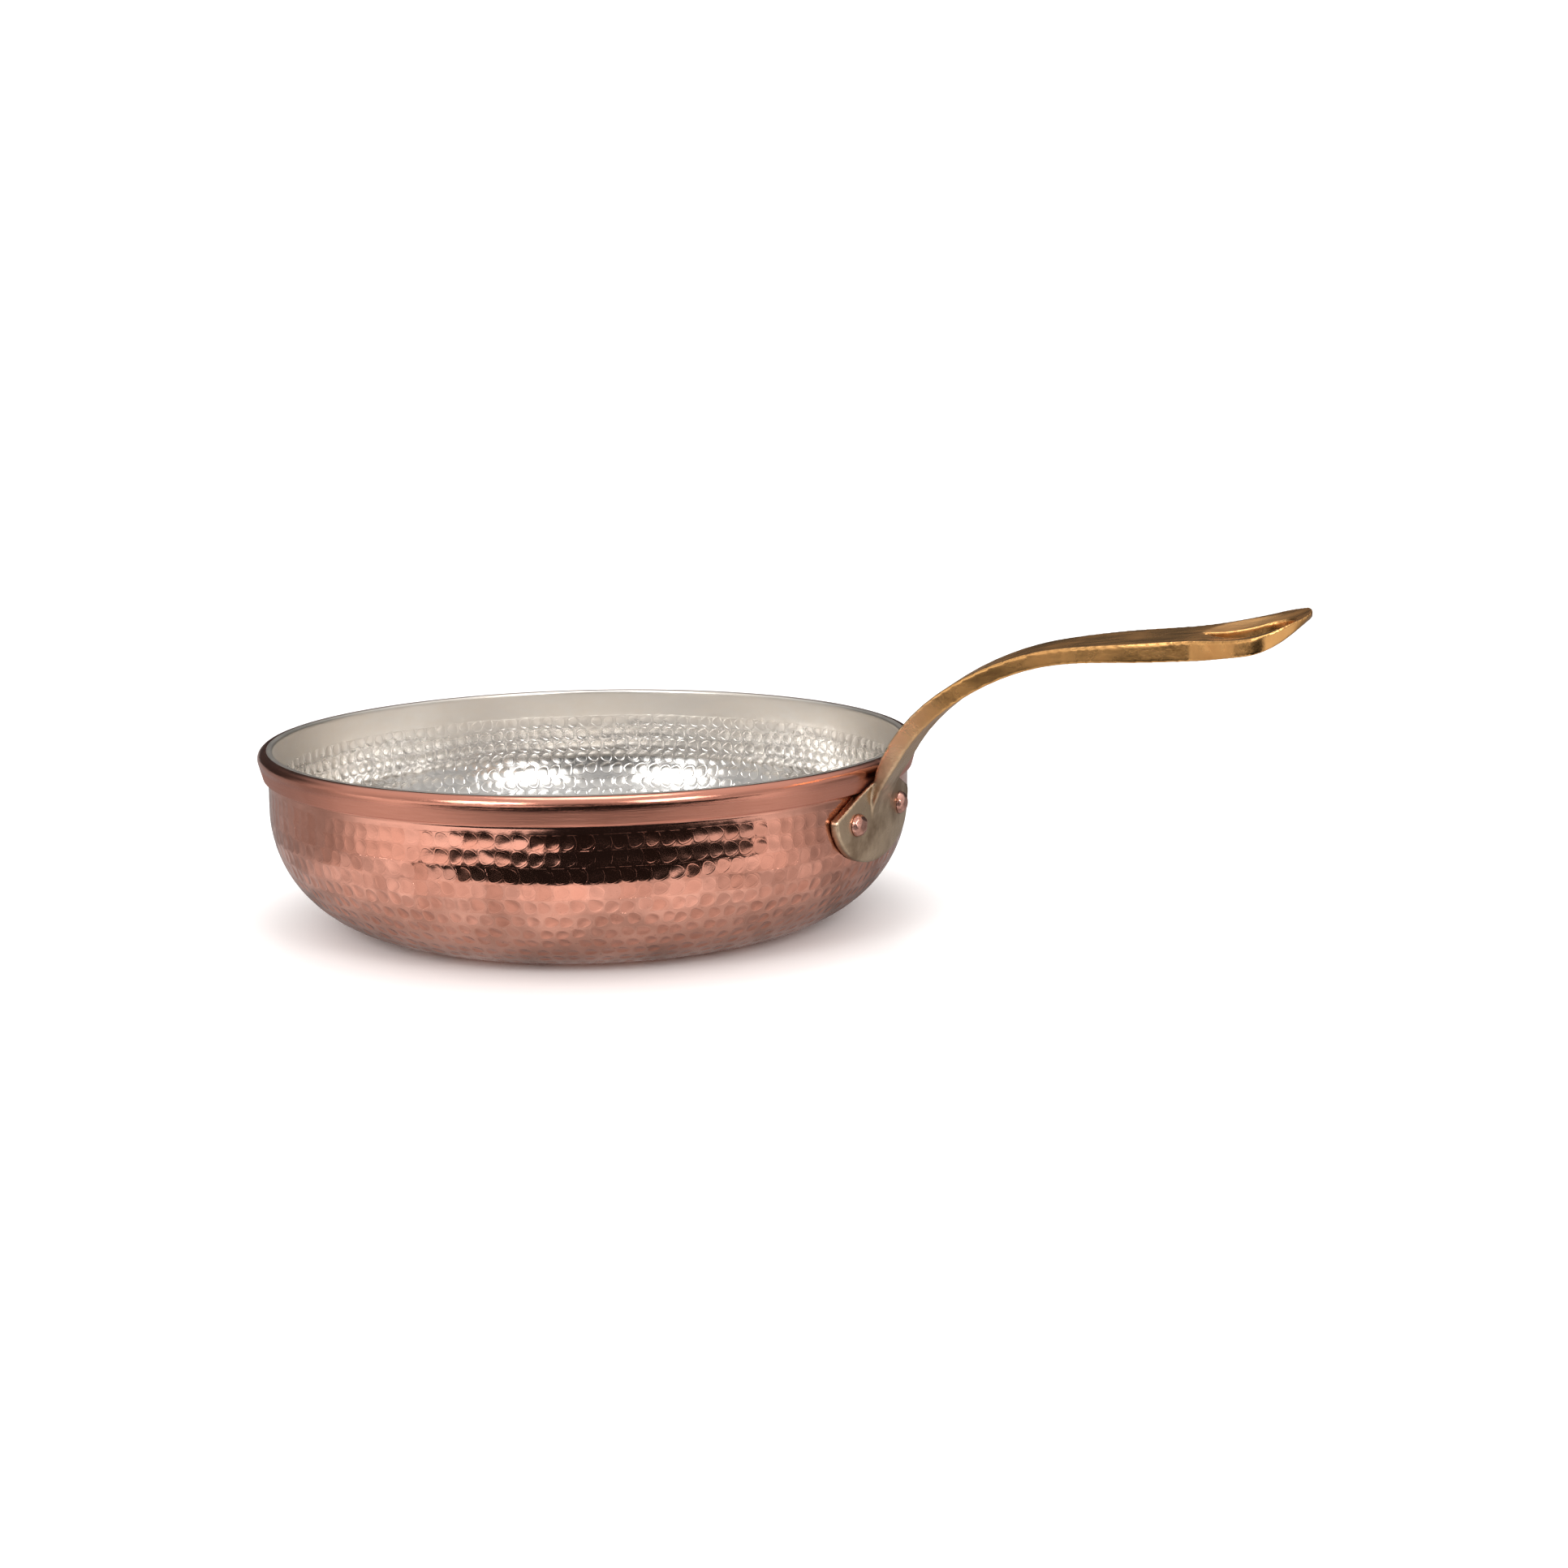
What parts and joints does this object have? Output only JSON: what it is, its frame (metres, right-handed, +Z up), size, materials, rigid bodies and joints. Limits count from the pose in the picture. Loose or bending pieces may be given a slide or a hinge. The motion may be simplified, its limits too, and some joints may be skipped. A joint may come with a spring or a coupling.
{
  "type": "saute pan",
  "caption": "Shallow hand-hammered copper pan, tinned inside, with a smooth rim band and a riveted, S-curved cast brass handle that ends in a spoon shape with a hanging hole.",
  "frame": {"origin": "centre of the flat base's underside", "axes": "+Z up out of the pan, +X from the pan's axis along the handle to its tip"},
  "size_m": [0.4336, 0.2652, 0.1385],
  "materials": {
    "copper": "hand-hammered and polished copper",
    "tin": "hammered, wiped tin",
    "cast_brass": "cast brass, filed and part polished",
    "rivet_copper": "hammered copper rivet"
  },
  "bodies": {
    "root": {"copper_shell": "copper", "tin_lining": "tin", "handle": "cast_brass", "rivet_left": "rivet_copper", "rivet_right": "rivet_copper"}
  },
  "joints": []
}
